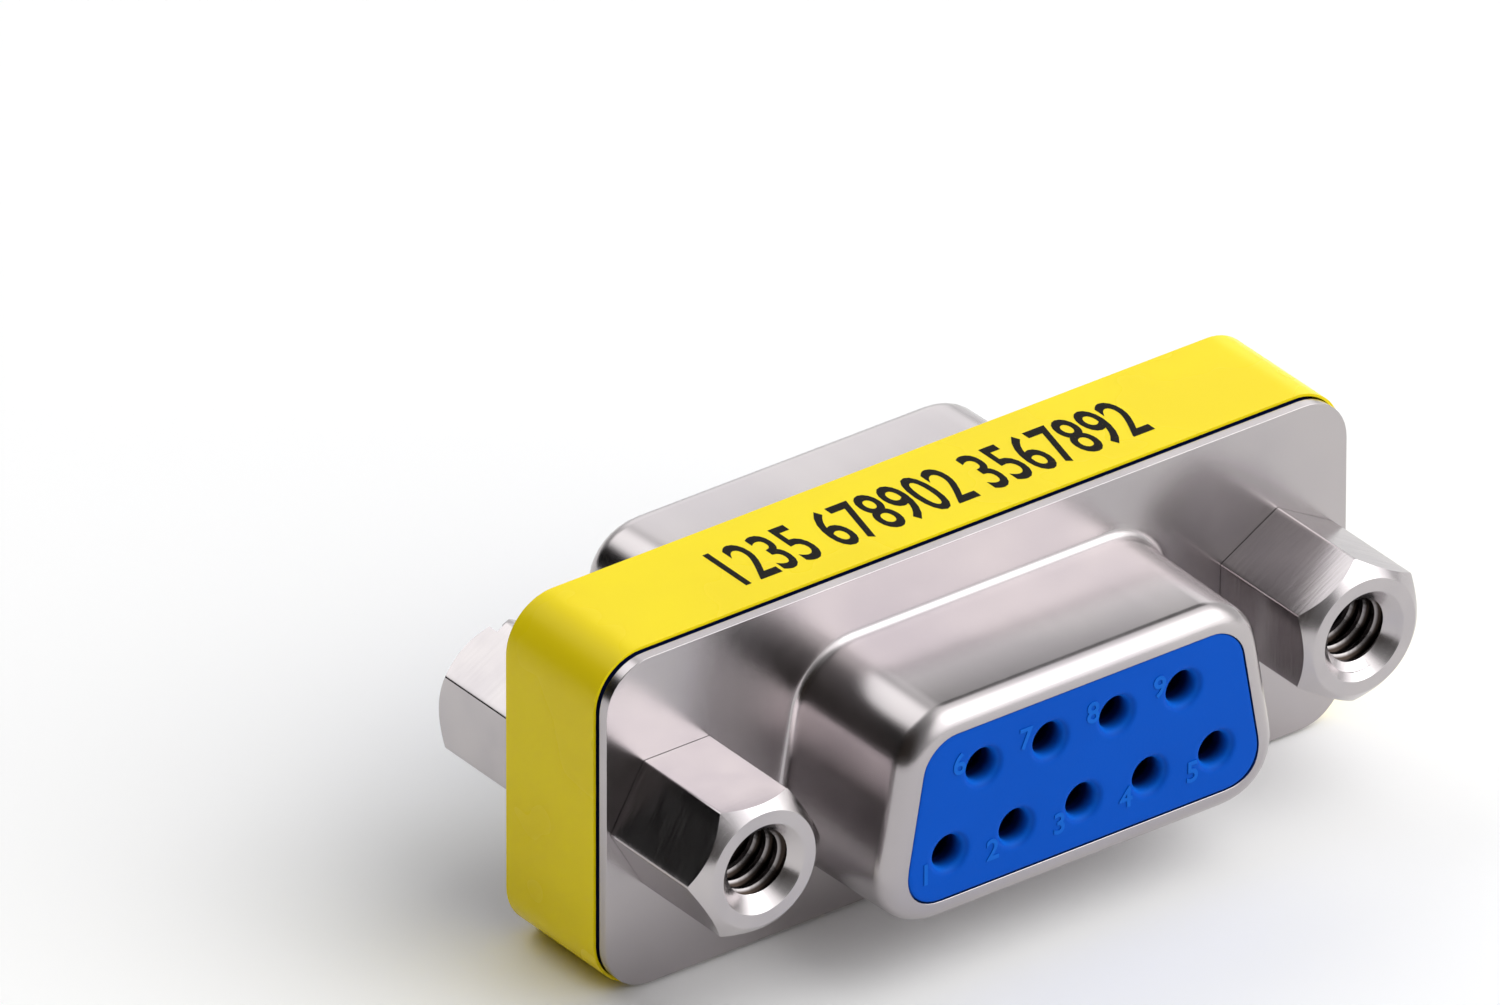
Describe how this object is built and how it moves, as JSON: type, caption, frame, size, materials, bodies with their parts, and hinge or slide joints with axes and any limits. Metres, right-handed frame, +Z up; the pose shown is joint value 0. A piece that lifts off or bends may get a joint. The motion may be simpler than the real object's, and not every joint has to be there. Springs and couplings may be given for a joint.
{
  "type": "d-sub gender changer",
  "caption": "Low D-sub gender changer: blue socket faces in drawn metal shells stand back to back, clamped by hexagon posts and slotted jackscrews inside a wrapped yellow label.",
  "frame": {"origin": "under the middle of the part, on the surface that the label's long lower side lies on", "axes": "+X along the flanges, -Y out of the front nose, which has the hexagon posts, +Y out of the rear nose, which has the slotted jackscrews, +Z up, towards the front nose's narrow side"},
  "size_m": [0.0311, 0.017, 0.0127],
  "materials": {
    "nickel_sheet": "bright nickel plate on drawn steel sheet",
    "blue_moulding": "satin blue moulding",
    "contact_gold": "thin gold flash",
    "bright_nickel": "bright nickel plate on turned bar",
    "label_film": "satin printed film"
  },
  "bodies": {
    "root": {"front_shell": "nickel_sheet", "front_insulator": "blue_moulding", "front_contact_1": "contact_gold", "front_contact_2": "contact_gold", "front_contact_3": "contact_gold", "front_contact_4": "contact_gold", "front_contact_5": "contact_gold", "front_contact_6": "contact_gold", "front_contact_7": "contact_gold", "front_contact_8": "contact_gold", "front_contact_9": "contact_gold", "rear_shell": "nickel_sheet", "rear_insulator": "blue_moulding", "rear_contact_1": "contact_gold", "rear_contact_2": "contact_gold", "rear_contact_3": "contact_gold", "rear_contact_4": "contact_gold", "rear_contact_5": "contact_gold", "rear_contact_6": "contact_gold", "rear_contact_7": "contact_gold", "rear_contact_8": "contact_gold", "rear_contact_9": "contact_gold", "front_post_left": "bright_nickel", "rear_jackscrew_left": "bright_nickel", "front_post_right": "bright_nickel", "rear_jackscrew_right": "bright_nickel", "label_band": "label_film"}
  },
  "joints": []
}
